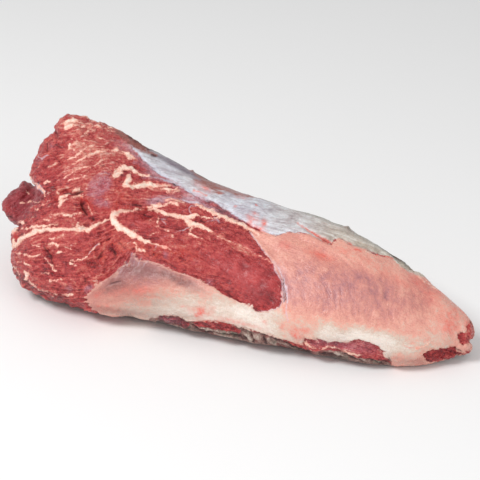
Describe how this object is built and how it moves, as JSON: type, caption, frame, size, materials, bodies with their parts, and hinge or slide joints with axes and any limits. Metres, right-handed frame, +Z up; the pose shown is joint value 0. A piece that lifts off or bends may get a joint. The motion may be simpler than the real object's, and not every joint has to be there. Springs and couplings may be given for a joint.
{
  "type": "raw beef mock tender",
  "caption": "Raw boneless beef shoulder muscle, cone-shaped, with a thick cut end, a thin tip, a coat of fat and silverskin along the ridge, resting on a flat underside.",
  "frame": {"origin": "under the middle of the piece, on the flat underside that it rests on", "axes": "+X along the length from the thick cut end to the thin tip, +Z up, -Y towards the show side with the bare muscle and the coat of fat"},
  "size_m": [0.315, 0.1076, 0.1018],
  "materials": {
    "raw_meat": "moist raw beef: red lean muscle, pale fat and blue-white silverskin"
  },
  "bodies": {
    "root": {"beef_mock_tender": "raw_meat"}
  },
  "joints": []
}
